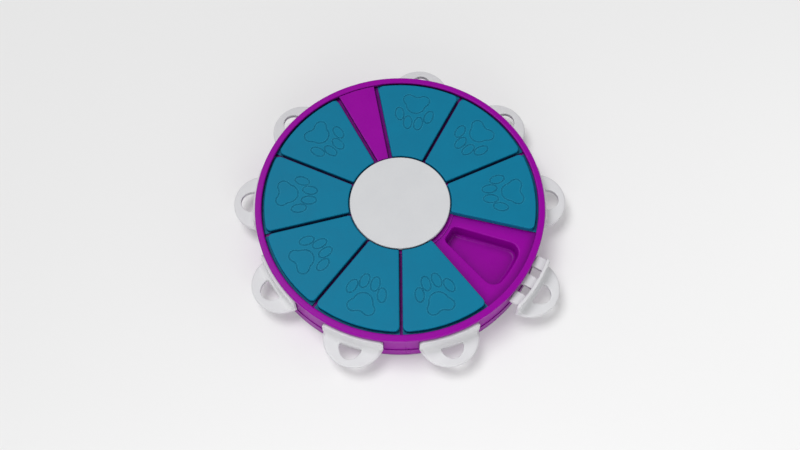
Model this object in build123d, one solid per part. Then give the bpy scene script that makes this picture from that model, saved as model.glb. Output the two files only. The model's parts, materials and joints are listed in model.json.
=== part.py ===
from build123d import *
import math
import os

# All lengths are in millimetres and all angles in degrees. The origin is on the
# toy's central axis, at the floor. +Z is up and +Y points at the block that the
# lids stop at.

# Layout of the compartments around the centre
compartment_count = 9
compartment_pitch = 38.0
block_direction = 90.0
open_compartment = 6            # counted counter-clockwise from the block

# Outer shell
rim_height = 42.0               # top of the rim above the floor
rim_radius = 130.2
rim_width = 6.1
rim_lip_depth = 5.0
rim_edge_radius = 1.4
lip_thickness = 0.9
lip_clearance = 0.1
wall_thickness = 2.4
seam_height = 15.0
pan_step = 0.7                  # how far the pan stands out beyond the tray's wall
pan_thickness = 2.0
pan_edge_radius = 2.0
tongue_height = 3.5
tongue_depth = 4.0
tongue_thickness = 2.0
tongue_clearance = 0.2

# Track that the lids slide on
track_depth = 5.5               # below the top of the rim
floor_thickness = 2.0
step_reach = 3.4                # beyond the centre disc's edge
step_height = 1.0
hub_inset = 2.5                 # inside the centre disc's edge
hub_skin = 2.2

# Pockets that hold the treats
pocket_inner_ledge = 3.0        # from the raised step to the pocket
prong_channel = 11.3            # from the side wall to the pocket
pocket_side_angle = 15.0        # of each side from the pocket's middle line
pocket_side_inset = 5.5
pocket_depth = 13.0
pocket_draft = 8.0
pocket_outer_corner = 10.0
pocket_inner_corner = 5.0
pocket_floor_radius = 3.0
pocket_mouth_radius = 1.2
pocket_wall = 2.0

# Raised block between the first and the last compartment
block_top_gap = 0.8             # below the top of the rim
block_lid_gap = 3.2             # to the lids beside it
block_rim_gap = 0.2
block_disc_gap = 0.9
block_edge_radius = 0.8
block_wall = 2.2

# Sliding lids
lid_height = 6.2
lid_running_gap = 0.3
lid_spacing = 2.2               # between neighbouring lids
lid_rim_gap = 2.3
lid_disc_gap = 1.5
lid_outer_corner = 5.0
lid_inner_corner = 1.2
lid_edge_radius = 1.4
lid_wall = 2.0
lid_skin = 2.2
flange_thickness = 2.0
flange_top_gap = 0.6            # below the rim ring
flange_wall_gap = 1.2
inner_flange_top_gap = 0.4      # below the centre disc
inner_flange_hub_gap = 0.6

# Paw print cut into each lid
paw_line_width = 1.0
paw_line_depth = 0.5
pad_inset = 20.3                # from the lid's outer edge to the pad's middle
pad_length = 19.5
pad_width = 25.0
pad_lobe_radius = 5.6           # two lobes towards the rim
pad_notch_depth = 2.3           # between the lobes
pad_blend_radius = 4.0          # where the lobes run into the round heel
toe_length = 13.4
toe_width = 7.8
inner_toe_distance = 20.0       # from the pad's middle, towards the centre
inner_toe_offset = 4.9
inner_toe_turn = 4.0
outer_toe_distance = 12.0
outer_toe_offset = 13.6
outer_toe_turn = 14.0

# Centre disc
disc_radius = 45.1
disc_thickness = 3.2
disc_edge_radius = 0.9
disc_boss_count = 3
disc_boss_circle = 26.0
disc_boss_radius = 3.4
disc_boss_length = 6.0
boss_clearance = 0.2

# Locking handles
handle_width = 55.6
handle_wall_gap = 0.3
handle_lip_gap = 0.4
plate_thickness = 2.8
plate_lift = 2.0                # of its lower edge above the loop's underside
plate_corner = 4.0
loop_radius = 27.6
loop_reach = 23.8               # from the tray's wall to the tip of the loop
loop_thickness = 4.5
loop_seam_gap = 0.5
loop_edge_radius = 1.8
loop_fillet = 5.0
finger_hole_width = 20.4
finger_hole_depth = 12.2        # outwards from its straight side
finger_hole_corner = 1.5
finger_hole_offset = 2.0
prong_count = 3
prong_pitch = 19.4
prong_width = 11.0
prong_thickness = 4.0
prong_tip_gap = 0.4
slot_clearance = 0.3
handle_travel = 10.5

# Screws and feet
screw_inset = 41.2              # of the pan screws, from the tray's side wall
screw_shaft_radius = 1.4
screw_shaft_length = 11.0
screw_tip_room = 3.4            # beyond a pan screw's tip
disc_screw_tip_gap = 1.0
screw_head_radius = 2.9
screw_head_height = 2.4
screw_hole_clearance = 0.3
pilot_clearance = 0.05
recess_width = 0.8
recess_length = 3.4
recess_depth = 1.2
screw_boss_radius = 3.6
pan_boss_radius = 5.6
pan_boss_height = 6.0
foot_count = 6
foot_inset = 19.2               # from the tray's side wall
foot_radius = 7.0
foot_height = 0.8
foot_socket_depth = 0.9
foot_edge_radius = 0.4

# Sizes that follow from the ones above
track_height = rim_height - track_depth
rim_inner_radius = rim_radius - rim_width
wall_radius = rim_radius - lip_thickness - lip_clearance
wall_inner_radius = wall_radius - wall_thickness
pan_radius = wall_radius + pan_step
block_half_angle = (360 - compartment_count * compartment_pitch) / 2
first_direction = block_direction + block_half_angle + compartment_pitch / 2
block_top = rim_height - block_top_gap
block_inner_radius = disc_radius + block_disc_gap
block_outer_radius = rim_inner_radius - block_rim_gap
block_inset = block_lid_gap - lid_spacing / 2
lid_bottom = track_height + lid_running_gap
lid_top = lid_bottom + lid_height
lid_outer_radius = rim_inner_radius - lid_rim_gap
lid_inner_radius = disc_radius + lid_disc_gap
rim_underside = lid_bottom + flange_thickness + flange_top_gap
hub_radius = disc_radius - hub_inset
step_radius = disc_radius + step_reach
step_clear_height = track_height + step_height + lid_running_gap
flange_radius = wall_inner_radius - flange_wall_gap
inner_flange_radius = hub_radius + inner_flange_hub_gap
inner_flange_thickness = rim_underside - inner_flange_top_gap - step_clear_height
pocket_inner_radius = step_radius + pocket_inner_ledge
pocket_outer_radius = wall_inner_radius - prong_channel
pad_centre_radius = lid_outer_radius - pad_inset
pad_heel_radius = (pad_length - pad_notch_depth) / 2
inner_toe_radius = pad_centre_radius - inner_toe_distance
outer_toe_radius = pad_centre_radius - outer_toe_distance
screw_circle = wall_radius - screw_inset
foot_circle = wall_radius - foot_inset
prong_top = track_height - floor_thickness - slot_clearance
prong_tip_radius = pocket_outer_radius + pocket_wall + prong_tip_gap
plate_inner_radius = wall_radius + handle_wall_gap
plate_outer_radius = plate_inner_radius + plate_thickness
plate_top = rim_height - rim_lip_depth - handle_lip_gap
loop_bottom = seam_height + loop_seam_gap
loop_top = loop_bottom + loop_thickness
plate_bottom = loop_bottom + plate_lift
pan_boss_top = foot_height + pan_boss_height
pan_screw_seat = pan_boss_top - screw_head_height
disc_boss_bottom = rim_underside - disc_boss_length
disc_screw_seat = disc_boss_bottom - hub_skin


def direction(number):
    """Direction of a compartment's middle, counted from 1."""
    return first_direction + (number - 1) * compartment_pitch


def turned(shape, angle):
    return Rot(0, 0, angle) * shape


def tube(outer, inner, low, high):
    ring = Circle(outer) - Circle(inner)
    return extrude(Pos(0, 0, low) * ring, amount=high - low)


def rod(radius, low, high):
    return extrude(Pos(0, 0, low) * Circle(radius), amount=high - low)


def wedge(inner, outer, half_angle, inset):
    """Face between two arcs, with straight sides set in from the radial lines."""
    def corner(radius, side):
        across = side * inset
        along = math.sqrt(radius ** 2 - inset ** 2)
        turn = side * math.radians(half_angle)
        x = along * math.cos(turn) + across * math.sin(turn)
        y = along * math.sin(turn) - across * math.cos(turn)
        return (x, y)
    with BuildSketch() as sketch:
        with BuildLine():
            Line(corner(inner, -1), corner(outer, -1))
            ThreePointArc(corner(outer, -1), (outer, 0), corner(outer, 1))
            Line(corner(outer, 1), corner(inner, 1))
            ThreePointArc(corner(inner, 1), (inner, 0), corner(inner, -1))
        make_face()
    return sketch.sketch


def rounded(face, middle_radius, outer_corner, inner_corner):
    """Round a wedge's corners, larger ones at its outer end."""
    def far(vertex):
        return math.hypot(vertex.X, vertex.Y) > middle_radius
    outer = [vertex for vertex in face.vertices() if far(vertex)]
    face = fillet(outer, outer_corner)
    inner = [vertex for vertex in face.vertices() if math.hypot(vertex.X, vertex.Y) < middle_radius]
    return fillet(inner, inner_corner)


def pocket_face(grow):
    middle = (pocket_inner_radius + pocket_outer_radius) / 2
    face = wedge(pocket_inner_radius - grow, pocket_outer_radius + grow,
                 pocket_side_angle, pocket_side_inset - grow)
    return rounded(face, middle, pocket_outer_corner + grow, pocket_inner_corner + grow)


def pocket_cavity():
    cavity = extrude(Pos(0, 0, track_height) * pocket_face(0), amount=-pocket_depth, taper=pocket_draft)
    bottom = cavity.faces().sort_by(Axis.Z)[0]
    return fillet(bottom.edges(), pocket_floor_radius)


def pocket_shell():
    depth = pocket_depth + pocket_wall
    return extrude(Pos(0, 0, track_height) * pocket_face(pocket_wall), amount=-depth, taper=pocket_draft)


def prong_bars(grow, inner, outer):
    """A handle's bars along +X between two radii, or the holes they pass through."""
    low = prong_top - prong_thickness - grow
    high = prong_top + grow
    band = tube(outer, inner, low, high)
    bars = []
    for index in range(prong_count):
        across = (index - (prong_count - 1) / 2) * prong_pitch
        middle = Pos(outer / 2, across, (low + high) / 2)
        bars.append(band & middle * Box(outer, prong_width + 2 * grow, high - low))
    return bars


def lid_stop(floor_bottom):
    """Raised block along +X, from the underside of the track's floor up."""
    outline = wedge(block_inner_radius, block_outer_radius, block_half_angle, block_inset)
    block = extrude(Pos(0, 0, floor_bottom) * outline, amount=block_top - floor_bottom)
    return fillet(block.faces().sort_by(Axis.Z)[-1].edges(), block_edge_radius)


def lid_stop_hollow(floor_bottom):
    outline = wedge(step_radius + block_wall, block_outer_radius - block_wall,
                    block_half_angle, block_inset + block_wall)
    return extrude(Pos(0, 0, floor_bottom) * outline, amount=block_top - block_wall - floor_bottom)


def compartment_numbers():
    return range(1, compartment_count + 1)


def screw_places():
    """One screw on each boundary between neighbouring compartments."""
    places = []
    for number in range(1, compartment_count):
        angle = math.radians(direction(number) + compartment_pitch / 2)
        places.append((screw_circle * math.cos(angle), screw_circle * math.sin(angle)))
    return places


def disc_boss_places():
    places = []
    for index in range(disc_boss_count):
        angle = math.radians(block_direction + index * 360 / disc_boss_count)
        places.append((disc_boss_circle * math.cos(angle), disc_boss_circle * math.sin(angle)))
    return places


def foot_places():
    places = []
    for index in range(foot_count):
        angle = math.radians(block_direction + index * 360 / foot_count)
        places.append((foot_circle * math.cos(angle), foot_circle * math.sin(angle)))
    return places


def mouth_edges(tray):
    """Edges where the pockets meet the track."""
    innermost = (step_radius + pocket_inner_radius) / 2
    outermost = (pocket_outer_radius + wall_inner_radius) / 2
    found = []
    for edge in tray.edges().filter_by_position(Axis.Z, track_height, track_height):
        reaches = [math.hypot(vertex.X, vertex.Y) for vertex in edge.vertices()]
        if min(reaches) > innermost and max(reaches) < outermost:
            found.append(edge)
    return found


def base_tray():
    """Upper shell: track, pockets, hub and the slotted side wall."""
    floor_bottom = track_height - floor_thickness
    cup_radius = disc_boss_radius + boss_clearance
    tray = rod(wall_radius, floor_bottom, track_height)
    tray += tube(wall_radius, wall_inner_radius, seam_height, rim_underside)
    tray += rod(step_radius, floor_bottom, track_height + step_height)
    tray += rod(hub_radius, floor_bottom, rim_underside)
    tray += turned(lid_stop(floor_bottom), block_direction)
    tray -= turned(lid_stop_hollow(floor_bottom), block_direction)
    tray -= rod(hub_radius - hub_skin, floor_bottom, rim_underside - hub_skin)
    for x, y in disc_boss_places():
        tray += Pos(x, y) * rod(cup_radius + hub_skin, disc_screw_seat, rim_underside)
        tray -= Pos(x, y) * rod(cup_radius, disc_boss_bottom, rim_underside)
        tray -= Pos(x, y) * rod(screw_shaft_radius + screw_hole_clearance, disc_screw_seat, disc_boss_bottom)
    for x, y in screw_places():
        tray += Pos(x, y) * rod(screw_boss_radius, pan_boss_top, floor_bottom)
    for number in compartment_numbers():
        tray += turned(pocket_shell(), direction(number))
    for number in compartment_numbers():
        tray -= turned(pocket_cavity(), direction(number))
        for hole in prong_bars(slot_clearance, prong_tip_radius, wall_radius + slot_clearance):
            tray -= turned(hole, direction(number))
    pilot_top = pan_screw_seat + screw_shaft_length + screw_tip_room
    for x, y in screw_places():
        tray -= Pos(x, y) * rod(screw_shaft_radius + pilot_clearance, pan_boss_top, pilot_top)
    return fillet(mouth_edges(tray), pocket_mouth_radius)


def bottom_pan():
    """Lower shell that closes the underside up to the seam."""
    floor_top = foot_height + pan_thickness
    tongue_outer = wall_inner_radius - tongue_clearance
    body = rod(pan_radius, foot_height, seam_height)
    body = fillet(body.edges().sort_by(Axis.Z)[0], pan_edge_radius)
    body -= rod(pan_radius - wall_thickness, floor_top, seam_height)
    body += tube(pan_radius - wall_thickness, tongue_outer - tongue_thickness,
                 seam_height - tongue_depth, seam_height)
    body += tube(tongue_outer, tongue_outer - tongue_thickness, seam_height, seam_height + tongue_height)
    for x, y in screw_places():
        body += Pos(x, y) * rod(pan_boss_radius, foot_height, pan_boss_top)
        body -= Pos(x, y) * rod(screw_head_radius + screw_hole_clearance, foot_height, pan_screw_seat)
        body -= Pos(x, y) * rod(screw_shaft_radius + screw_hole_clearance, pan_screw_seat, pan_boss_top)
    for x, y in foot_places():
        body -= Pos(x, y) * rod(foot_radius, foot_height, foot_height + foot_socket_depth)
    return body


def rim_ring():
    """Ring that keeps the lids' outer flanges down on the track."""
    ring = rod(rim_radius, rim_height - rim_lip_depth, rim_height)
    ring = fillet(ring.edges().sort_by(Axis.Z)[-1], rim_edge_radius)
    ring -= rod(wall_radius + lip_clearance, rim_height - rim_lip_depth, rim_underside)
    return ring - rod(rim_inner_radius, rim_height - rim_lip_depth, rim_height)


def centre_disc():
    """Plain disc over the hub that keeps the lids' inner flanges down."""
    disc = rod(disc_radius, rim_underside, rim_underside + disc_thickness)
    disc = fillet(disc.edges().sort_by(Axis.Z)[-1], disc_edge_radius)
    for x, y in disc_boss_places():
        disc += Pos(x, y) * rod(disc_boss_radius, disc_boss_bottom, rim_underside)
        disc -= Pos(x, y) * rod(screw_shaft_radius + pilot_clearance, disc_boss_bottom, rim_underside)
    return disc


def pad_face(grow):
    """The paw's pad: a round heel towards the centre and two lobes towards the rim."""
    heel_x = pad_centre_radius - pad_length / 2 + pad_heel_radius
    lobe_x = pad_centre_radius + pad_length / 2 - pad_lobe_radius
    lobe_y = pad_width / 2 - pad_lobe_radius
    pad = Pos(heel_x, 0) * Circle(pad_heel_radius + grow)
    for side in (-1, 1):
        pad += Pos(lobe_x, side * lobe_y) * Circle(pad_lobe_radius + grow)
    return fillet(pad.vertices(), pad_blend_radius - grow)


def toe_line():
    grow = paw_line_width / 2
    outer = Ellipse(toe_length / 2 + grow, toe_width / 2 + grow)
    return outer - Ellipse(toe_length / 2 - grow, toe_width / 2 - grow)


def paw_lines():
    """Bands that follow the outline of the pad and of the four toes."""
    lines = [pad_face(paw_line_width / 2) - pad_face(-paw_line_width / 2)]
    toe = toe_line()
    for side in (-1, 1):
        lines.append(Pos(inner_toe_radius, side * inner_toe_offset) * Rot(0, 0, side * inner_toe_turn) * toe)
        lines.append(Pos(outer_toe_radius, side * outer_toe_offset) * Rot(0, 0, side * outer_toe_turn) * toe)
    return lines


def lid():
    """One lid, lying along +X."""
    half = compartment_pitch / 2
    inset = lid_spacing / 2
    middle = (lid_inner_radius + lid_outer_radius) / 2
    outline = rounded(wedge(lid_inner_radius, lid_outer_radius, half, inset),
                      middle, lid_outer_corner, lid_inner_corner)
    body = extrude(Pos(0, 0, lid_bottom) * outline, amount=lid_height)
    top = body.faces().sort_by(Axis.Z)[-1]
    body = fillet(top.edges(), lid_edge_radius)
    flange = wedge(lid_outer_radius - lid_wall, flange_radius, half, inset)
    body += extrude(Pos(0, 0, lid_bottom) * flange, amount=flange_thickness)
    inner_flange = wedge(inner_flange_radius, lid_inner_radius + lid_wall, half, inset)
    body += extrude(Pos(0, 0, step_clear_height) * inner_flange, amount=inner_flange_thickness)
    hollow = wedge(lid_inner_radius + lid_wall, lid_outer_radius - lid_wall, half, inset + lid_wall)
    body -= extrude(Pos(0, 0, lid_bottom) * hollow, amount=lid_height - lid_skin)
    body -= rod(step_radius + lid_running_gap, lid_bottom, step_clear_height)
    for line in paw_lines():
        body -= extrude(Pos(0, 0, lid_top + paw_line_depth) * line, amount=-2 * paw_line_depth)
    return body


def handle():
    """One locking handle in its pushed-in place, lying along +X."""
    loop_centre = wall_radius + loop_reach - loop_radius
    loop = Pos(loop_centre, 0) * rod(loop_radius, loop_bottom, loop_top)
    loop = fillet(loop.edges().filter_by(GeomType.CIRCLE), loop_edge_radius)
    plate = tube(plate_outer_radius, plate_inner_radius, plate_bottom, plate_top)
    front = Plane.YZ * Pos(0, (plate_top + plate_bottom) / 2) * RectangleRounded(
        handle_width, plate_top - plate_bottom, plate_corner)
    plate &= extrude(front, amount=plate_outer_radius + plate_thickness)
    blend = tube(plate_outer_radius + loop_fillet, plate_inner_radius, loop_top - loop_edge_radius,
                 loop_top + loop_fillet)
    sweep = Plane.XZ * Pos(plate_outer_radius + loop_fillet, loop_top + loop_fillet) * Circle(loop_fillet)
    blend -= revolve(sweep, Axis.Z, 360)
    blend &= Pos(loop_centre, 0) * rod(loop_radius - loop_edge_radius, loop_bottom, loop_top + loop_fillet)
    loop += blend
    hole_start = plate_outer_radius + finger_hole_offset
    hole = Pos(hole_start, 0) * Ellipse(finger_hole_depth, finger_hole_width / 2)
    hole &= Pos(hole_start + finger_hole_depth / 2, 0) * Rectangle(finger_hole_depth, finger_hole_width)
    hole = fillet(hole.vertices(), finger_hole_corner)
    loop -= extrude(Pos(0, 0, loop_bottom) * hole, amount=loop_thickness + loop_fillet)
    loop -= rod(plate_inner_radius, loop_bottom, loop_top + loop_fillet)
    body = plate + loop
    for bar in prong_bars(0, prong_tip_radius, plate_inner_radius + plate_thickness / 2):
        body += bar
    return body


def screw(seat, shaft_length):
    """Pan-head screw pointing up, its head below the face it bears on."""
    head_bottom = seat - screw_head_height
    body = rod(screw_head_radius, head_bottom, seat) + rod(screw_shaft_radius, seat, seat + shaft_length)
    for width, length in ((recess_width, recess_length), (recess_length, recess_width)):
        body -= Pos(0, 0, head_bottom + recess_depth / 2) * Box(width, length, recess_depth)
    return body


def foot():
    pad = rod(foot_radius, 0, foot_height + foot_socket_depth)
    return fillet(pad.edges().sort_by(Axis.Z)[0], foot_edge_radius)


def group(shape, places):
    return Compound(children=[Pos(x, y) * shape for x, y in places])


def pieces():
    disc_shaft_length = hub_skin + disc_boss_length - disc_screw_tip_gap
    parts = {
        "base_tray": base_tray(),
        "bottom_pan": bottom_pan(),
        "rim_ring": rim_ring(),
        "centre_disc": centre_disc(),
        "pan_screws": group(screw(pan_screw_seat, screw_shaft_length), screw_places()),
        "disc_screws": group(screw(disc_screw_seat, disc_shaft_length), disc_boss_places()),
        "rubber_feet": group(foot(), foot_places()),
    }
    one_lid = lid()
    one_handle = handle()
    lid_number = 0
    for number in compartment_numbers():
        angle = direction(number)
        pulled = handle_travel if number == open_compartment else 0
        parts[f"handle_{number}"] = turned(Pos(pulled, 0) * one_handle, angle)
        if number != open_compartment:
            lid_number += 1
            parts[f"lid_{lid_number}"] = turned(one_lid, angle)
    return parts


os.makedirs("parts", exist_ok=True)
for name, shape in pieces().items():
    export_step(shape, f"parts/{name}.step")
    print(name, round(shape.volume, 1))
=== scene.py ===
import bmesh
import bpy
import json
import math
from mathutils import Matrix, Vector


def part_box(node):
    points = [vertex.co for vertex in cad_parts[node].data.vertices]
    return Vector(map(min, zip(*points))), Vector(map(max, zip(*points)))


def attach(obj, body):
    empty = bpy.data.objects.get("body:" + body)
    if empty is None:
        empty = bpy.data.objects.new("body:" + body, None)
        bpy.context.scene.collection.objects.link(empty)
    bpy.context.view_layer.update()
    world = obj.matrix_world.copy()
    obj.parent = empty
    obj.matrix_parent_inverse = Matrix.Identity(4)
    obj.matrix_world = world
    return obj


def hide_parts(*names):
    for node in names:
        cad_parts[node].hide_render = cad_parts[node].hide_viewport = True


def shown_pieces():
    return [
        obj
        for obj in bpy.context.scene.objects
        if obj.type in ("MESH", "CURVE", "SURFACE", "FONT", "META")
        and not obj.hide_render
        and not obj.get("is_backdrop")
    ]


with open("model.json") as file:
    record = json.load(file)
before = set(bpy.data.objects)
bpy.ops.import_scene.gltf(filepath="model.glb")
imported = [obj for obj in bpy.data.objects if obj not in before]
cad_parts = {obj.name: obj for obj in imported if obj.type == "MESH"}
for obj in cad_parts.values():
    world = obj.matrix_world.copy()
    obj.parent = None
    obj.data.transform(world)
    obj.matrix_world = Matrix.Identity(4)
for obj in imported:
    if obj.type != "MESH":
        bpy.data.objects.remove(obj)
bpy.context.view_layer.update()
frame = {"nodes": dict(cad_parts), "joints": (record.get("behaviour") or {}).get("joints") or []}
mm = 0.001


def toScene(values):
    return tuple(v * mm for v in values)


def rgb(red, green, blue):
    linear = []
    for value in (red / 255, green / 255, blue / 255):
        linear.append(value / 12.92 if value <= 0.04045 else ((value + 0.055) / 1.055) ** 2.4)
    return (*linear, 1.0)


cameraSet = {
    "target": (0, 0, 14),       # on the axis, a third of the way up
    "distance": 1000,
    "azimuth": -19.5,
    "elevation": 65.5,
    "lens": 48.9,
    "shiftY": -0.0124,
}


def placeCamera(s):
    turn, tilt = math.radians(s["azimuth"]), math.radians(s["elevation"])
    back = Vector((math.sin(turn) * math.cos(tilt), -math.cos(turn) * math.cos(tilt), math.sin(tilt)))
    bpy.ops.object.camera_add(location=Vector(toScene(s["target"])) + back * s["distance"] * mm)
    camera = bpy.context.object
    camera.name = "camera"
    camera.rotation_mode = "QUATERNION"
    camera.rotation_quaternion = (-back).to_track_quat("-Z", "Y")
    camera.data.lens = s["lens"]
    camera.data.sensor_width = 36
    camera.data.shift_y = s["shiftY"]
    camera.data.clip_start = 0.01
    bpy.context.scene.camera = camera


placeCamera(cameraSet)
print("camera placed")


def newGroup(name, inputs, outputs):
    group = bpy.data.node_groups.new(name, "ShaderNodeTree")
    for label, kind, value in inputs:
        socket = group.interface.new_socket(label, in_out="INPUT", socket_type=kind)
        if value is not None:
            socket.default_value = value
    for label, kind in outputs:
        group.interface.new_socket(label, in_out="OUTPUT", socket_type=kind)
    return group, group.nodes.new("NodeGroupInput"), group.nodes.new("NodeGroupOutput")


def addMath(tree, operation, first, second, clamp=False):
    node = tree.nodes.new("ShaderNodeMath")
    node.operation = operation
    node.use_clamp = clamp
    for socket, value in zip(node.inputs, (first, second)):
        if isinstance(value, (int, float)):
            socket.default_value = value
        elif value is not None:
            tree.links.new(value, socket)
    return node.outputs[0]


studioSet = {
    "floorColour": rgb(236, 236, 236),
    "floorSize": 12.0,          # metres
    "floorRoughness": 0.9,
    "floorShow": 0.22,          # how much of the floor's plain colour the camera sees through its shadows
    "fillStrength": 0.4,        # even light from all around
    "keyStrength": 1.85,
    "keySpread": 30,            # degrees, wide for soft shadows
    "keyFrom": (-0.24, 0.28, 0.93),
    "frontPower": 3.0,          # low softbox in front, for the side wall and the handles
    "frontSize": 0.7,
    "frontPlace": (-0.25, -0.72, 0.26),
    "sidePower": 0.5,           # low softbox at the right, for the rim's highlight
    "sideSize": 0.3,
    "sidePlace": (0.6, -0.3, 0.4),
}


def aimAtObject(light, place):
    light.rotation_euler = (-Vector(place)).to_track_quat("-Z", "Y").to_euler()


def addSoftbox(name, place, power, size):
    bpy.ops.object.light_add(type="AREA", location=place)
    box = bpy.context.object
    box.name = name
    box.data.energy = power
    box.data.size = size
    box.visible_camera = False
    aimAtObject(box, place)


def shownShare(tree, amount):
    # what the camera sees straight, mirrored or through glass
    path = tree.nodes.new("ShaderNodeLightPath")
    mirrored = addMath(tree, "MAXIMUM", path.outputs["Is Camera Ray"], path.outputs["Is Glossy Ray"])
    seen = addMath(tree, "MAXIMUM", mirrored, path.outputs["Is Transmission Ray"])
    return addMath(tree, "MULTIPLY", seen, amount)


def paintFloor(floor, s):
    paint = bpy.data.materials.new("studioFloor")
    paint.use_nodes = True
    nodes, links = paint.node_tree.nodes, paint.node_tree.links
    shader = nodes["Principled BSDF"]
    shader.inputs["Base Color"].default_value = s["floorColour"]
    shader.inputs["Roughness"].default_value = s["floorRoughness"]
    shader.inputs["Specular IOR Level"].default_value = 0.0
    plain = nodes.new("ShaderNodeEmission")
    plain.inputs["Color"].default_value = s["floorColour"]
    mix = nodes.new("ShaderNodeMixShader")
    links.new(shownShare(paint.node_tree, s["floorShow"]), mix.inputs["Fac"])
    links.new(shader.outputs["BSDF"], mix.inputs[1])
    links.new(plain.outputs["Emission"], mix.inputs[2])
    links.new(mix.outputs["Shader"], nodes["Material Output"].inputs["Surface"])
    floor.data.materials.append(paint)


def lightWorld(s):
    world = bpy.data.worlds.new("studioWorld")
    world.use_nodes = True
    bpy.context.scene.world = world
    nodes, links = world.node_tree.nodes, world.node_tree.links
    nodes.clear()
    output = nodes.new("ShaderNodeOutputWorld")
    mix = nodes.new("ShaderNodeMixShader")
    fill = nodes.new("ShaderNodeBackground")
    fill.inputs["Strength"].default_value = s["fillStrength"]
    shown = nodes.new("ShaderNodeBackground")
    shown.inputs["Color"].default_value = s["floorColour"]
    links.new(shownShare(world.node_tree, 1.0), mix.inputs["Fac"])
    links.new(fill.outputs["Background"], mix.inputs[1])
    links.new(shown.outputs["Background"], mix.inputs[2])
    links.new(mix.outputs["Shader"], output.inputs["Surface"])


def buildStudio(s):
    bpy.context.scene.view_settings.view_transform = "Standard"
    bpy.ops.mesh.primitive_plane_add(size=s["floorSize"])
    floor = bpy.context.object
    floor.name = "floor"
    floor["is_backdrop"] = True
    paintFloor(floor, s)
    lightWorld(s)
    bpy.ops.object.light_add(type="SUN", location=(0, 0, 2))
    key = bpy.context.object
    key.name = "keyLight"
    key.data.energy = s["keyStrength"]
    key.data.angle = math.radians(s["keySpread"])
    aimAtObject(key, s["keyFrom"])
    addSoftbox("frontBox", s["frontPlace"], s["frontPower"], s["frontSize"])
    addSoftbox("sideBox", s["sidePlace"], s["sidePower"], s["sideSize"])


buildStudio(studioSet)
print("studio lit")


grainSet = {
    "detail": 2.0,
    "waveScale": 22,            # features per metre
    "waveDetail": 1.0,
    "patchScale": 60,
    "patchDetail": 4.0,
}


def mouldGrain(s):
    # fine spark-eroded texture of a mould, plus the slow waviness of a cooled shell
    group, start, end = newGroup("mouldGrain", [
        ("Vector", "NodeSocketVector", None),
        ("Grain Size", "NodeSocketFloat", 0.35),
        ("Waviness", "NodeSocketFloat", 0.3),
    ], [("Height", "NodeSocketFloat"), ("Patch", "NodeSocketFloat")])
    nodes, links = group.nodes, group.links
    grain = nodes.new("ShaderNodeTexNoise")
    grain.inputs["Detail"].default_value = s["detail"]
    links.new(start.outputs["Vector"], grain.inputs["Vector"])
    links.new(addMath(group, "DIVIDE", 1 / mm, start.outputs["Grain Size"]), grain.inputs["Scale"])
    wave = nodes.new("ShaderNodeTexNoise")
    wave.inputs["Scale"].default_value = s["waveScale"]
    wave.inputs["Detail"].default_value = s["waveDetail"]
    links.new(start.outputs["Vector"], wave.inputs["Vector"])
    patch = nodes.new("ShaderNodeTexNoise")
    patch.inputs["Scale"].default_value = s["patchScale"]
    patch.inputs["Detail"].default_value = s["patchDetail"]
    links.new(start.outputs["Vector"], patch.inputs["Vector"])
    slow = addMath(group, "MULTIPLY", wave.outputs["Fac"], start.outputs["Waviness"])
    links.new(addMath(group, "ADD", grain.outputs["Fac"], slow), end.inputs["Height"])
    links.new(patch.outputs["Fac"], end.inputs["Patch"])
    return group


marksSet = {
    "runs": ((25, (900, 30, 300)), (-50, (700, 22, 260))),      # turn in degrees, stretch of the noise
    "detail": 2.0,
    "fadeIn": 0.66,
    "full": 0.74,
}


def handlingMarks(s):
    # hairline scuffs in two directions, as nails and teeth leave them
    group, start, end = newGroup("handlingMarks", [
        ("Vector", "NodeSocketVector", None),
        ("Amount", "NodeSocketFloat", 0.5),
    ], [("Mask", "NodeSocketFloat")])
    nodes, links = group.nodes, group.links
    masks = []
    for turn, stretch in s["runs"]:
        mapping = nodes.new("ShaderNodeMapping")
        mapping.inputs["Rotation"].default_value = (0, 0, math.radians(turn))
        mapping.inputs["Scale"].default_value = stretch
        links.new(start.outputs["Vector"], mapping.inputs["Vector"])
        streak = nodes.new("ShaderNodeTexNoise")
        streak.inputs["Scale"].default_value = 1.0
        streak.inputs["Detail"].default_value = s["detail"]
        links.new(mapping.outputs["Vector"], streak.inputs["Vector"])
        ramp = nodes.new("ShaderNodeValToRGB")
        ramp.color_ramp.elements[0].position = s["fadeIn"]
        ramp.color_ramp.elements[1].position = s["full"]
        links.new(streak.outputs["Fac"], ramp.inputs["Fac"])
        masks.append(ramp.outputs["Color"])
    both = addMath(group, "MAXIMUM", masks[0], masks[1])
    links.new(addMath(group, "MULTIPLY", both, start.outputs["Amount"], clamp=True), end.inputs["Mask"])
    return group


# settings for the edge wear, which also paints highlights on edges
wearSheenSet = {
    "samples": 4,
    "gain": 6.0,
    "breakScale": 180,
    "breakDetail": 3.0,
}


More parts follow.
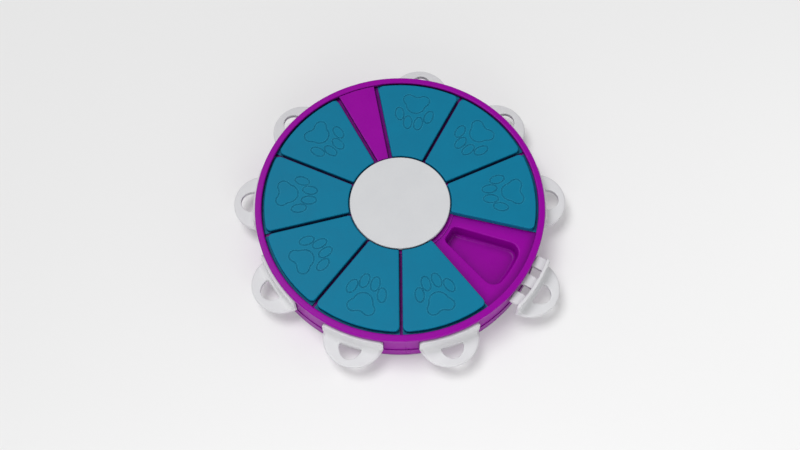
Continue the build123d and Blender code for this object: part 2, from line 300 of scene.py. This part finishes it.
def edgeWearAndSheen(s):
    # picks out edges for wear and a painted highlight, broken up so that the polish isn't even
    group, start, end = newGroup("edgeWearAndSheen", [
        ("Vector", "NodeSocketVector", None),
        ("Width", "NodeSocketFloat", 0.6),
        ("Amount", "NodeSocketFloat", 1.0),
    ], [("Mask", "NodeSocketFloat")])
    nodes, links = group.nodes, group.links
    bevel = nodes.new("ShaderNodeBevel")
    bevel.samples = s["samples"]
    links.new(addMath(group, "MULTIPLY", start.outputs["Width"], mm), bevel.inputs["Radius"])
    plain = nodes.new("ShaderNodeNewGeometry")
    dot = nodes.new("ShaderNodeVectorMath")
    dot.operation = "DOT_PRODUCT"
    links.new(bevel.outputs["Normal"], dot.inputs[0])
    links.new(plain.outputs["Normal"], dot.inputs[1])
    bent = addMath(group, "SUBTRACT", 1.0, dot.outputs["Value"])
    breakUp = nodes.new("ShaderNodeTexNoise")
    breakUp.inputs["Scale"].default_value = s["breakScale"]
    breakUp.inputs["Detail"].default_value = s["breakDetail"]
    links.new(start.outputs["Vector"], breakUp.inputs["Vector"])
    strong = addMath(group, "MULTIPLY", bent, s["gain"])
    uneven = addMath(group, "MULTIPLY", strong, breakUp.outputs["Fac"])
    links.new(addMath(group, "MULTIPLY", uneven, start.outputs["Amount"], clamp=True), end.inputs["Mask"])
    return group


# settings for the painted shade in gaps and deep corners
creviceShadeSet = {
    "samples": 8,
    "patchScale": 140,
    "evenShare": 0.5,
}


def paintCreviceShade(s):
    # painted shade that darkens narrow gaps and deep corners, broken up in patches
    group, start, end = newGroup("paintCreviceShade", [
        ("Vector", "NodeSocketVector", None),
        ("Reach", "NodeSocketFloat", 8.0),
        ("Amount", "NodeSocketFloat", 0.5),
    ], [("Mask", "NodeSocketFloat")])
    nodes, links = group.nodes, group.links
    hidden = nodes.new("ShaderNodeAmbientOcclusion")
    hidden.samples = s["samples"]
    links.new(addMath(group, "MULTIPLY", start.outputs["Reach"], mm), hidden.inputs["Distance"])
    patchy = nodes.new("ShaderNodeTexNoise")
    patchy.inputs["Scale"].default_value = s["patchScale"]
    links.new(start.outputs["Vector"], patchy.inputs["Vector"])
    covered = addMath(group, "SUBTRACT", 1.0, hidden.outputs["AO"])
    patches = addMath(group, "ADD", patchy.outputs["Fac"], s["evenShare"])
    uneven = addMath(group, "MULTIPLY", covered, patches)
    links.new(addMath(group, "MULTIPLY", uneven, start.outputs["Amount"], clamp=True), end.inputs["Mask"])
    return group


grainGroup = mouldGrain(grainSet)
marksGroup = handlingMarks(marksSet)
wearSheenGroup = edgeWearAndSheen(wearSheenSet)
creviceShadeGroup = paintCreviceShade(creviceShadeSet)


def useGroup(tree, group, values, place):
    node = tree.nodes.new("ShaderNodeGroup")
    node.node_tree = group
    for label, value in values.items():
        node.inputs[label].default_value = value
    tree.links.new(place, node.inputs["Vector"])
    return node


def mixColour(tree, factor, first, second):
    node = tree.nodes.new("ShaderNodeMix")
    node.data_type = "RGBA"
    tree.links.new(factor, node.inputs["Factor"])
    for socket, value in ((node.inputs["A"], first), (node.inputs["B"], second)):
        if isinstance(value, tuple):
            socket.default_value = value
        else:
            tree.links.new(value, socket)
    return node.outputs["Result"]


def mapRange(tree, value, low, high):
    node = tree.nodes.new("ShaderNodeMapRange")
    tree.links.new(value, node.inputs["Value"])
    node.inputs["To Min"].default_value = low
    node.inputs["To Max"].default_value = high
    return node.outputs["Result"]


# each finish's crevice colour is painted shade for gaps and deep corners; its edge colour is part wear,
# part painted highlight
plasticSets = {
    "purplePlastic": {
        "colour": rgb(148, 0, 154), "shade": rgb(138, 0, 146), "wornSheen": rgb(196, 84, 204),
        "roughness": (0.24, 0.34), "grainSize": 0.5, "grainHeight": 0.012, "marks": 0.5,
        "wearSheenWidth": 0.8, "wearSheenAmount": 0.8, "specular": 0.07,
        "creviceShadeColour": rgb(44, 2, 66), "creviceShadeReach": 9.0, "creviceShadeAmount": 0.75,
    },
    "tealPlastic": {
        "colour": rgb(0, 118, 152), "shade": rgb(0, 110, 143), "wornSheen": rgb(60, 168, 196),
        "roughness": (0.42, 0.54), "grainSize": 0.4, "grainHeight": 0.02, "marks": 0.35,
        "wearSheenWidth": 0.9, "wearSheenAmount": 0.7, "specular": 0.1,
        "creviceShadeColour": rgb(2, 22, 70), "creviceShadeReach": 6.0, "creviceShadeAmount": 0.7,
    },
    "whitePlastic": {
        "colour": rgb(212, 212, 214), "shade": rgb(203, 203, 206), "wornSheen": rgb(238, 238, 238),
        "roughness": (0.4, 0.52), "grainSize": 0.4, "grainHeight": 0.015, "marks": 0.3,
        "wearSheenWidth": 0.6, "wearSheenAmount": 0.4, "specular": 0.25,
        "creviceShadeColour": rgb(120, 120, 118), "creviceShadeReach": 3.0, "creviceShadeAmount": 0.4,
    },
    "discPlastic": {
        "colour": rgb(209, 210, 212), "shade": rgb(201, 202, 205), "wornSheen": rgb(238, 238, 238),
        "roughness": (0.5, 0.62), "grainSize": 0.6, "grainHeight": 0.035, "marks": 0.35,
        "wearSheenWidth": 0.8, "wearSheenAmount": 0.7, "specular": 0.2,
        "creviceShadeColour": rgb(130, 130, 130), "creviceShadeReach": 2.0, "creviceShadeAmount": 0.3,
    },
    "footRubber": {
        "colour": rgb(58, 58, 60), "shade": rgb(48, 48, 50), "wornSheen": rgb(92, 92, 94),
        "roughness": (0.7, 0.85), "grainSize": 0.5, "grainHeight": 0.03, "marks": 0.6,
        "wearSheenWidth": 0.6, "wearSheenAmount": 0.6, "specular": 0.3,
        "creviceShadeColour": rgb(30, 30, 30), "creviceShadeReach": 2.0, "creviceShadeAmount": 0.4,
    },
}


reliefSet = {
    "scuffRoughness": 0.25,
    "bumpStrength": 0.6,
}


def mouldedPlastic(name, s, relief):
    material = bpy.data.materials.new(name)
    material.use_nodes = True
    tree = material.node_tree
    nodes, links = tree.nodes, tree.links
    shader = nodes["Principled BSDF"]
    shader.inputs["Specular IOR Level"].default_value = s["specular"]
    place = nodes.new("ShaderNodeTexCoord").outputs["Object"]
    grain = useGroup(tree, grainGroup, {"Grain Size": s["grainSize"]}, place)
    marks = useGroup(tree, marksGroup, {"Amount": s["marks"]}, place)
    # lighter edges: part wear, part painted highlight
    wearSheen = useGroup(tree, wearSheenGroup, {"Width": s["wearSheenWidth"], "Amount": s["wearSheenAmount"]}, place)
    # painted shade in gaps and deep corners, mixed in over the other colours
    creviceShade = useGroup(tree, creviceShadeGroup, {"Reach": s["creviceShadeReach"], "Amount": s["creviceShadeAmount"]}, place)
    body = mixColour(tree, grain.outputs["Patch"], s["shade"], s["colour"])
    wornSheen = mixColour(tree, wearSheen.outputs["Mask"], body, s["wornSheen"])
    links.new(mixColour(tree, creviceShade.outputs["Mask"], wornSheen, s["creviceShadeColour"]), shader.inputs["Base Color"])
    smooth = mapRange(tree, grain.outputs["Patch"], *s["roughness"])
    scuffed = addMath(tree, "MULTIPLY", marks.outputs["Mask"], relief["scuffRoughness"])
    links.new(addMath(tree, "ADD", smooth, scuffed, clamp=True), shader.inputs["Roughness"])
    bump = nodes.new("ShaderNodeBump")
    bump.inputs["Strength"].default_value = relief["bumpStrength"]
    bump.inputs["Distance"].default_value = s["grainHeight"] * mm
    height = addMath(tree, "SUBTRACT", grain.outputs["Height"], marks.outputs["Mask"])
    links.new(height, bump.inputs["Height"])
    links.new(bump.outputs["Normal"], shader.inputs["Normal"])
    return material


steelSet = {
    "colour": rgb(196, 196, 198), "shade": rgb(168, 168, 172), "wornSheen": rgb(224, 224, 224),
    "roughness": (0.28, 0.46), "grainSize": 0.3, "grainHeight": 0.01, "bumpStrength": 0.4,
    "wearSheenWidth": 0.3, "wearSheenAmount": 0.8,
}


def screwSteel(s):
    material = bpy.data.materials.new("screwSteel")
    material.use_nodes = True
    tree = material.node_tree
    nodes, links = tree.nodes, tree.links
    shader = nodes["Principled BSDF"]
    shader.inputs["Metallic"].default_value = 1.0
    place = nodes.new("ShaderNodeTexCoord").outputs["Object"]
    grain = useGroup(tree, grainGroup, {"Grain Size": s["grainSize"], "Waviness": 0.0}, place)
    wearSheen = useGroup(tree, wearSheenGroup, {"Width": s["wearSheenWidth"], "Amount": s["wearSheenAmount"]}, place)
    zinc = mixColour(tree, grain.outputs["Patch"], s["shade"], s["colour"])
    links.new(mixColour(tree, wearSheen.outputs["Mask"], zinc, s["wornSheen"]), shader.inputs["Base Color"])
    links.new(mapRange(tree, grain.outputs["Patch"], *s["roughness"]), shader.inputs["Roughness"])
    bump = nodes.new("ShaderNodeBump")
    bump.inputs["Strength"].default_value = s["bumpStrength"]
    bump.inputs["Distance"].default_value = s["grainHeight"] * mm
    links.new(grain.outputs["Height"], bump.inputs["Height"])
    links.new(bump.outputs["Normal"], shader.inputs["Normal"])
    return material


finishes = {name: mouldedPlastic(name, s, reliefSet) for name, s in plasticSets.items()}
finishes["screwSteel"] = screwSteel(steelSet)
print("finishes ready")


past = 1.0                      # how far a cutting tool or a joined part runs on beyond a face
weld = 0.002                    # vertices nearer than this are merged


def selectOnly(piece):
    bpy.ops.object.select_all(action="DESELECT")
    piece.select_set(True)
    bpy.context.view_layer.objects.active = piece


def pick(piece, kind, test):
    # opens the piece in edit mode with only what passes the test selected
    selectOnly(piece)
    bpy.ops.object.mode_set(mode="EDIT")
    bpy.ops.mesh.select_mode(type=kind)
    bpy.ops.mesh.select_all(action="DESELECT")
    shape = bmesh.from_edit_mesh(piece.data)
    for element in {"VERT": shape.verts, "EDGE": shape.edges, "FACE": shape.faces}[kind]:
        if test(element):
            element.select_set(True)
    shape.select_flush_mode()
    bmesh.update_edit_mesh(piece.data)


def closeEdit():
    bpy.ops.object.mode_set(mode="OBJECT")


def radiusOf(vertex):
    return vertex.co.xy.length / mm


def heightOf(vertex):
    return vertex.co.z / mm


def near(value, wanted, slack=0.05):
    return abs(value - wanted) < slack


def bevelPicked(width, segments):
    bpy.ops.mesh.bevel(offset=width * mm, segments=segments, affect="EDGES", clamp_overlap=False)
    closeEdit()


def tidyNormals(piece):
    pick(piece, "FACE", lambda face: True)
    bpy.ops.mesh.remove_doubles(threshold=weld * mm)
    bpy.ops.mesh.normals_make_consistent(inside=False)
    closeEdit()


def boolean(piece, other, operation):
    # the other piece is used up
    selectOnly(piece)
    cut = piece.modifiers.new("cut", "BOOLEAN")
    cut.operation = operation
    cut.solver = "EXACT"
    cut.object = other
    bpy.ops.object.modifier_apply(modifier=cut.name)
    bpy.data.objects.remove(other, do_unlink=True)


def sector(name, inner, outer, low, high, half, steps):
    # a rectangle swung about the axis, from half an angle above +X to half an angle below
    middle = (inner + outer) / 2
    place = (middle * math.cos(half), middle * math.sin(half), (low + high) / 2)
    bpy.ops.mesh.primitive_plane_add(size=1, location=toScene(place), rotation=(math.pi / 2, 0, half))
    piece = bpy.context.object
    piece.name = name
    piece.scale = ((outer - inner) * mm, (high - low) * mm, 1)
    bpy.ops.object.transform_apply(location=True, rotation=True, scale=True)
    bpy.ops.object.mode_set(mode="EDIT")
    bpy.ops.mesh.select_all(action="SELECT")
    bpy.ops.mesh.spin(steps=steps, angle=2 * half, center=(0, 0, 0), axis=(0, 0, 1))
    closeEdit()
    tidyNormals(piece)
    return piece


def trimSides(piece, half, inset):
    # cuts both sides parallel to the edges of the piece's share of the track
    for side in (1, -1):
        across = Vector((-math.sin(half), side * math.cos(half), 0))
        pick(piece, "FACE", lambda face: True)
        bpy.ops.mesh.bisect(plane_co=-across * inset * mm, plane_no=across, use_fill=True, clear_outer=True)
        closeEdit()


def rod(name, radius, low, high, vertices, place=(0, 0)):
    middle = (*place, (low + high) / 2)
    bpy.ops.mesh.primitive_cylinder_add(vertices=vertices, radius=radius * mm, depth=(high - low) * mm,
                                        location=toScene(middle))
    piece = bpy.context.object
    piece.name = name
    bpy.ops.object.transform_apply(location=True)
    return piece


def lathe(name, profile, vertices):
    # rings drawn one after the other along a profile of radius and height
    (radius, height), *others = profile
    bpy.ops.mesh.primitive_circle_add(vertices=vertices, radius=radius * mm, location=(0, 0, height * mm))
    piece = bpy.context.object
    piece.name = name
    bpy.ops.object.transform_apply(location=True)
    bpy.ops.object.mode_set(mode="EDIT")
    bpy.ops.mesh.select_all(action="SELECT")
    for newRadius, newHeight in others:
        rise = (0, 0, (newHeight - height) * mm)
        bpy.ops.mesh.extrude_region_move(TRANSFORM_OT_translate={"value": rise})
        bpy.ops.transform.resize(value=(newRadius / radius, newRadius / radius, 1))
        radius, height = newRadius, newHeight
    closeEdit()
    return piece


def smoothShade(piece, angle, weighted=True):
    selectOnly(piece)
    bpy.ops.object.shade_smooth_by_angle(angle=math.radians(angle))
    if weighted:
        weigh = piece.modifiers.new("weigh", "WEIGHTED_NORMAL")
        weigh.keep_sharp = True
        bpy.ops.object.modifier_apply(modifier=weigh.name)


def finishPiece(piece, finish, body, replaced):
    piece.data.materials.clear()
    piece.data.materials.append(finishes[finish])
    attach(piece, body)
    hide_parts(replaced)


def copyTurned(master, name, turn, slide=0.0):
    # the master lies along +X; the copy slides outwards and is turned to its place
    selectOnly(master)
    bpy.ops.object.duplicate()
    piece = bpy.context.object
    piece.name = name
    piece.location = (math.cos(turn) * slide, math.sin(turn) * slide, 0)
    piece.rotation_euler.z = turn
    bpy.ops.object.transform_apply(location=True, rotation=True, scale=True)
    return piece


def topOf(node):
    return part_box(node)[1][2] / mm


def bottomOf(node):
    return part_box(node)[0][2] / mm


trackSet = {
    "compartments": 9,
    "pitch": 38.0,              # degrees
    "first": 118.0,
    "open": 6,                  # this compartment has no lid, and its handle is pulled
    "discRadius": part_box("centre_disc")[1][0] / mm,
    "rimRadius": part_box("rim_ring")[1][0] / mm,
    "rimWidth": 6.1,
}
trackSet["rimInner"] = trackSet["rimRadius"] - trackSet["rimWidth"]


def directionOf(number):
    return math.radians(trackSet["first"] + (number - 1) * trackSet["pitch"])


def bodyPull(number):
    # how far the handle already stands out at rest
    for joint in frame["joints"]:
        if joint["name"] == f"handle_{number}_pull":
            return max(0.0, -joint["range_m"][0])
    return 0.0


lidSet = {
    "bottom": bottomOf("lid_1"),
    "top": topOf("lid_1"),
    "spacing": 2.7,             # between neighbours
    "rimGap": 2.3,
    "discGap": 1.2,
    "outerCorner": 5.0,
    "innerCorner": 1.6,
    "topRound": 1.2,
    "topSteps": 5,
    "wall": 2.0,
    "skin": 2.2,
    "wallRound": 0.8,           # how much tighter the hollow's corners are
    "cornerSteps": 8,
    "steps": 11,                # flats round the arc, long enough for the corners
    "stepRoomVertices": 192,
    "smoothAngle": 32,
    "edgeInset": 0.05,          # keeps the flange's faces off the lid's own
    # the flange runs under the rim, the lip under the disc and over the step around the hub
    "flange": {"radius": 125.6, "high": 37.9},
    "lip": {"radius": 43.2, "low": 37.8, "high": 39.0, "stepRadius": 48.8},
}

pawSet = {
    "lineRadius": 0.8,          # the tool's, which cuts a line about 1.6 mm wide
    "lineDepth": 0.7,
    "lineSteps": 3,
    "padInset": 20.3,           # from the lid's outer edge to the pad's middle
    "padLength": 19.5,
    "padWidth": 25.0,
    "lobeRadius": 5.6,
    "notchDepth": 2.3,
    "padPoints": 96,
    "padRelax": 8,
    "toeLength": 13.4,
    "toeWidth": 7.8,
    "toePoints": 48,
    "toes": ((20.0, 4.9, 4.0), (12.0, 13.6, 14.0)),     # from the pad, off the middle line, turn
}


def discExit(ray, x, y, radius):
    # how far out along a ray the far edge of a disc lies
    along = ray.x * x + ray.y * y
    under = radius ** 2 - (x ** 2 + y ** 2 - along ** 2)
    return along + math.sqrt(under) if under > 0 else 0


def padTool(s, padX, height):
    # a circle pushed out to the farthest of a heel and two lobes, then relaxed where they meet
    heel = (s["padLength"] - s["notchDepth"]) / 2
    lobeX = s["padLength"] / 2 - s["lobeRadius"]
    lobeY = s["padWidth"] / 2 - s["lobeRadius"]
    discs = (
        (heel - s["padLength"] / 2, 0, heel),
        (lobeX, lobeY, s["lobeRadius"]),
        (lobeX, -lobeY, s["lobeRadius"]),
    )
    bpy.ops.mesh.primitive_circle_add(vertices=s["padPoints"], radius=mm)
    pad = bpy.context.object
    pad.name = "padTool"
    for vertex in pad.data.vertices:
        ray = vertex.co.normalized()
        vertex.co = ray * max(discExit(ray, *disc) for disc in discs) * mm
    pick(pad, "VERT", lambda vertex: True)
    bpy.ops.mesh.vertices_smooth(factor=0.5, repeat=s["padRelax"])
    closeEdit()
    pad.location = toScene((padX, 0, height))
    bpy.ops.object.transform_apply(location=True)
    return wireTool(pad, s)


def wireTool(outline, s):
    # a round bar along the outline
    selectOnly(outline)
    bpy.ops.object.convert(target="CURVE")
    wire = bpy.context.object
    wire.data.bevel_depth = s["lineRadius"] * mm
    wire.data.bevel_resolution = s["lineSteps"]
    bpy.ops.object.convert(target="MESH")
    wire = bpy.context.object
    tidyNormals(wire)
    return wire


def toeTool(s, place, turn, height):
    bpy.ops.mesh.primitive_circle_add(vertices=s["toePoints"], radius=1, location=toScene((*place, height)),
                                      rotation=(0, 0, math.radians(turn)))
    toe = bpy.context.object
    toe.name = "toeTool"
    toe.scale = (s["toeLength"] / 2 * mm, s["toeWidth"] / 2 * mm, 1)
    bpy.ops.object.transform_apply(location=True, rotation=True, scale=True)
    return wireTool(toe, s)


def cutPaw(lid, s, outerRadius, top):
    height = top + s["lineRadius"] - s["lineDepth"]
    padX = outerRadius - s["padInset"]
    boolean(lid, padTool(s, padX, height), "DIFFERENCE")
    for back, aside, turn in s["toes"]:
        for side in (1, -1):
            toe = toeTool(s, (padX - back, side * aside), side * turn, height)
            boolean(lid, toe, "DIFFERENCE")


def wedge(name, reach, heights, half, inset, corners):
    # a lid's share of the track, its four upright corners rounded: the inner two, then the outer two
    piece = sector(name, *reach, *heights, half, lidSet["steps"])
    trimSides(piece, half, inset)
    for radius, corner in zip(reach, corners):
        def atCorner(edge):
            first, second = edge.verts
            upright = near((first.co.xy - second.co.xy).length / mm, 0)
            outwards = first.co.xy.normalized()
            atSide = any(near(face.normal.xy.dot(outwards), 0, slack=0.3) for face in edge.link_faces)
            return upright and atSide and near(radiusOf(first), radius, slack=0.5)
        pick(piece, "EDGE", atCorner)
        bevelPicked(corner, lidSet["cornerSteps"])
    pick(piece, "FACE", lambda face: near(abs(face.normal.z), 1, slack=0.1))
    bpy.ops.mesh.dissolve_limited(angle_limit=math.radians(1))
    closeEdit()
    tidyNormals(piece)
    return piece


def modelLid(s, t):
    half, inset = math.radians(t["pitch"] / 2), s["spacing"] / 2
    inner, outer = t["discRadius"] + s["discGap"], t["rimInner"] - s["rimGap"]
    corners = (s["innerCorner"], s["outerCorner"])
    lid = wedge("lidMaster", (inner, outer), (s["bottom"], s["top"]), half, inset, corners)
    pick(lid, "EDGE", lambda edge: all(near(heightOf(vertex), s["top"]) for vertex in edge.verts))
    bevelPicked(s["topRound"], s["topSteps"])
    tidyNormals(lid)

    flange, lip = s["flange"], s["lip"]
    flangeLow = s["bottom"] + s["edgeInset"]
    ledges = {
        "flange": (outer - s["outerCorner"], flange["radius"], flangeLow, flange["high"]),
        "lip": (lip["radius"], inner + s["wall"], lip["low"], lip["high"]),
    }
    for name, section in ledges.items():
        ledge = sector(name, *section, half, s["steps"])
        trimSides(ledge, half, inset + s["edgeInset"])
        boolean(lid, ledge, "UNION")
    stepRoom = rod("stepRoom", lip["stepRadius"], s["bottom"] - past, lip["low"], s["stepRoomVertices"])
    boolean(lid, stepRoom, "DIFFERENCE")
    hollow = wedge("hollow", (lip["stepRadius"] + s["wall"], outer - s["wall"]),
                   (s["bottom"] - past, s["top"] - s["skin"]), half, inset + s["wall"],
                   [corner - s["wallRound"] for corner in corners])
    boolean(lid, hollow, "DIFFERENCE")
    cutPaw(lid, pawSet, outer, s["top"])
    tidyNormals(lid)
    smoothShade(lid, s["smoothAngle"])
    return lid


def buildLids():
    master = modelLid(lidSet, trackSet)
    lidNumber = 0
    for number in range(1, trackSet["compartments"] + 1):
        if number == trackSet["open"]:
            continue
        lidNumber += 1
        lid = copyTurned(master, f"lidCover{lidNumber}", directionOf(number))
        finishPiece(lid, "tealPlastic", f"lid_{lidNumber}", f"lid_{lidNumber}")
    bpy.data.objects.remove(master, do_unlink=True)


buildLids()
print("lids modelled")

handleSet = {
    "width": 55.6,
    "plate": {
        "inner": 129.5, "thickness": 2.8, "low": 17.5, "high": 36.6,
        "corner": 4.0, "cornerSteps": 6, "steps": 12,
    },
    "loop": {
        "radius": 27.6, "tip": 153.0, "low": 15.5, "high": 20.0,
        "round": 1.8, "roundSteps": 4, "vertices": 128,
    },
    "fillet": 5.0,
    "filletSteps": 48,
    "hole": {"start": 134.3, "depth": 12.2, "width": 20.4, "corner": 1.5, "cornerSteps": 5, "vertices": 64},
    "prong": {
        "count": 3, "pitch": 19.4, "width": 11.0, "thickness": 4.0,
        "top": 34.2, "tip": 117.9, "round": 0.9, "roundSteps": 3,
    },
    "wallVertices": 256,        # of the tools as wide as the tray's wall
    "voxel": 0.38,
    "smoothing": 7,
    "keep": 0.3,                # share of the faces that the finished piece keeps
    "smoothAngle": 40,
}


def modelPlate(s, width):
    outer = s["inner"] + s["thickness"]
    half = math.asin(width / 2 / outer)
    plate = sector("plate", s["inner"], outer, s["low"], s["high"], half, s["steps"])

    def corner(edge):
        first, second = edge.verts
        atEnd = near(abs(math.atan2(first.co.y, first.co.x)), half, 0.001)
        through = not near(radiusOf(first), radiusOf(second)) and near(heightOf(first), heightOf(second))
        return atEnd and through
    pick(plate, "EDGE", corner)
    bevelPicked(s["corner"], s["cornerSteps"])
    return plate


def modelLoop(s, plateInner, wallVertices):
    centre = s["tip"] - s["radius"]
    loop = rod("loop", s["radius"], s["low"], s["high"], s["vertices"], (centre, 0))
    pick(loop, "EDGE", lambda edge: near(heightOf(edge.verts[0]), heightOf(edge.verts[1])))
    bevelPicked(s["round"], s["roundSteps"])
    wallRoom = rod("wallRoom", plateInner, s["low"] - past, s["high"] + past, wallVertices)
    boolean(loop, wallRoom, "DIFFERENCE")
    return loop


def fingerTool(s, low, high):
    # half an oval, its two sharp ends rounded
    tool = rod("fingerTool", 1, low, high, s["vertices"])
    tool.scale = (s["depth"], s["width"] / 2, 1)
    tool.location.x = s["start"] * mm
    bpy.ops.object.transform_apply(location=True, rotation=True, scale=True)
    pick(tool, "FACE", lambda face: True)
    straightSide = (s["start"] * mm, 0, 0)
    bpy.ops.mesh.bisect(plane_co=straightSide, plane_no=(1, 0, 0), use_fill=True, clear_inner=True)
    closeEdit()

    def end(edge):
        first, second = edge.verts
        upright = near((first.co.xy - second.co.xy).length / mm, 0)
        return upright and near(abs(first.co.y) / mm, s["width"] / 2) and near(first.co.x / mm, s["start"])
    pick(tool, "EDGE", end)
    bevelPicked(s["corner"], s["cornerSteps"])
    return tool


def filletStrip(s):
    # hollow sweep from the plate down to the loop, cut out by a ring
    plate, loop, reach = s["plate"], s["loop"], s["fillet"]
    outer = plate["inner"] + plate["thickness"]
    strip = rod("strip", loop["radius"] - loop["round"], loop["high"] - past, loop["high"] + reach,
                loop["vertices"], (loop["tip"] - loop["radius"], 0))
    wallRoom = rod("wallRoom", outer - past, loop["low"], loop["high"] + reach + past, s["wallVertices"])
    boolean(strip, wallRoom, "DIFFERENCE")
    bpy.ops.mesh.primitive_torus_add(
        major_segments=s["wallVertices"], minor_segments=s["filletSteps"],
        major_radius=(outer + reach) * mm, minor_radius=reach * mm,
        location=(0, 0, (loop["high"] + reach) * mm))
    ring = bpy.context.object
    bpy.ops.object.transform_apply(location=True)
    boolean(strip, ring, "DIFFERENCE")
    pick(strip, "VERT", lambda vertex: radiusOf(vertex) > outer + reach)
    bpy.ops.mesh.delete(type="VERT")
    bpy.ops.mesh.select_all(action="DESELECT")
    bpy.ops.mesh.select_non_manifold()
    bpy.ops.mesh.edge_face_add()
    closeEdit()
    return strip


def modelProng(s, index, reach):
    aside = (index - (s["count"] - 1) / 2) * s["pitch"]
    place = ((s["tip"] + reach) / 2, aside, s["top"] - s["thickness"] / 2)
    bpy.ops.mesh.primitive_cube_add(size=1, location=toScene(place))
    prong = bpy.context.object
    prong.scale = toScene((reach - s["tip"], s["width"], s["thickness"]))
    bpy.ops.object.transform_apply(location=True, rotation=True, scale=True)
    pick(prong, "EDGE", lambda edge: all(near(vertex.co.x / mm, s["tip"]) for vertex in edge.verts))
    bevelPicked(s["round"], s["roundSteps"])
    return prong


def modelHandle(s):
    handle = modelPlate(s["plate"], s["width"])
    handle.name = "handleMaster"
    parts = [modelLoop(s["loop"], s["plate"]["inner"], s["wallVertices"]), filletStrip(s)]
    low, high = s["loop"]["low"] - past, s["loop"]["high"] + s["fillet"] + past
    for part in parts:
        boolean(part, fingerTool(s["hole"], low, high), "DIFFERENCE")
    reach = s["plate"]["inner"] + s["plate"]["thickness"] / 2
    parts += [modelProng(s["prong"], index, reach) for index in range(s["prong"]["count"])]
    selectOnly(handle)
    for part in parts:
        part.select_set(True)
    bpy.ops.object.join()
    melt = handle.modifiers.new("melt", "REMESH")       # one skin over all the parts
    melt.mode = "VOXEL"
    melt.voxel_size = s["voxel"] * mm
    bpy.ops.object.modifier_apply(modifier=melt.name)
    soften = handle.modifiers.new("soften", "SMOOTH")
    soften.iterations = s["smoothing"]
    bpy.ops.object.modifier_apply(modifier=soften.name)
    thin = handle.modifiers.new("thin", "DECIMATE")
    thin.ratio = s["keep"]
    bpy.ops.object.modifier_apply(modifier=thin.name)
    smoothShade(handle, s["smoothAngle"], weighted=False)
    return handle


def buildHandles():
    master = modelHandle(handleSet)
    for number in range(1, trackSet["compartments"] + 1):
        handle = copyTurned(master, f"handleLoop{number}", directionOf(number), bodyPull(number))
        finishPiece(handle, "whitePlastic", f"handle_{number}", f"handle_{number}")
    bpy.data.objects.remove(master, do_unlink=True)


buildHandles()
print("handles modelled")

rimSet = {
    "lipLow": bottomOf("rim_ring"),
    "underside": 39.4,
    "top": topOf("rim_ring"),
    "lipInner": 129.3,
    "outerRound": 1.4,
    "innerRound": 1.3,
    "roundSteps": 6,
    "vertices": 256,
    "smoothAngle": 35,
}


def buildRim(s, t):
    profile = [(t["rimInner"], s["underside"]), (t["rimInner"], s["top"]), (t["rimRadius"], s["top"]),
               (t["rimRadius"], s["lipLow"]), (s["lipInner"], s["lipLow"]), (s["lipInner"], s["underside"])]
    rim = lathe("rimBand", profile, s["vertices"])
    pick(rim, "EDGE", lambda edge: edge.is_boundary)
    bpy.ops.mesh.bridge_edge_loops()
    closeEdit()
    tidyNormals(rim)
    for radius, width in ((t["rimRadius"], s["outerRound"]), (t["rimInner"], s["innerRound"])):
        def onTop(vertex):
            return near(radiusOf(vertex), radius, 0.02) and near(heightOf(vertex), s["top"], 0.02)
        pick(rim, "EDGE", lambda edge: all(onTop(vertex) for vertex in edge.verts))
        bevelPicked(width, s["roundSteps"])
    smoothShade(rim, s["smoothAngle"])
    finishPiece(rim, "purplePlastic", "base", "rim_ring")


buildRim(rimSet, trackSet)
print("rim modelled")

discSet = {
    "low": 39.4,
    "top": topOf("centre_disc"),
    "edgeRound": 1.0,
    "edgeSteps": 5,
    "bossRadius": 3.4,
    "bossCircle": 26.0,
    "bossLow": bottomOf("centre_disc"),
    "bosses": 3,
    "firstBoss": 90,            # degrees
    "bossVertices": 48,
    "vertices": 256,
    "smoothAngle": 35,
}


def buildDisc(s, t):
    disc = rod("discPlate", t["discRadius"], s["low"], s["top"], s["vertices"])
    pick(disc, "EDGE", lambda edge: all(near(heightOf(vertex), s["top"]) for vertex in edge.verts))
    bevelPicked(s["edgeRound"], s["edgeSteps"])
    for index in range(s["bosses"]):
        turn = math.radians(s["firstBoss"] + 360 * index / s["bosses"])
        place = (s["bossCircle"] * math.cos(turn), s["bossCircle"] * math.sin(turn))
        boss = rod("boss", s["bossRadius"], s["bossLow"], s["low"] + past, s["bossVertices"], place)
        boolean(disc, boss, "UNION")
    tidyNormals(disc)
    smoothShade(disc, s["smoothAngle"])
    finishPiece(disc, "discPlastic", "base", "centre_disc")


buildDisc(discSet, trackSet)
print("disc modelled")

nodeFinish = {
    "base_tray": "purplePlastic", "bottom_pan": "purplePlastic",
    "pan_screws": "screwSteel", "disc_screws": "screwSteel", "rubber_feet": "footRubber",
}
for name, finish in nodeFinish.items():
    node = frame["nodes"][name]
    node.data.materials.clear()
    node.data.materials.append(finishes[finish])
print("materials assigned")

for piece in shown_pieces():
    mesh = piece.data
    mesh.calc_loop_triangles()
    print("  ", piece.name, len(mesh.loop_triangles), "triangles")
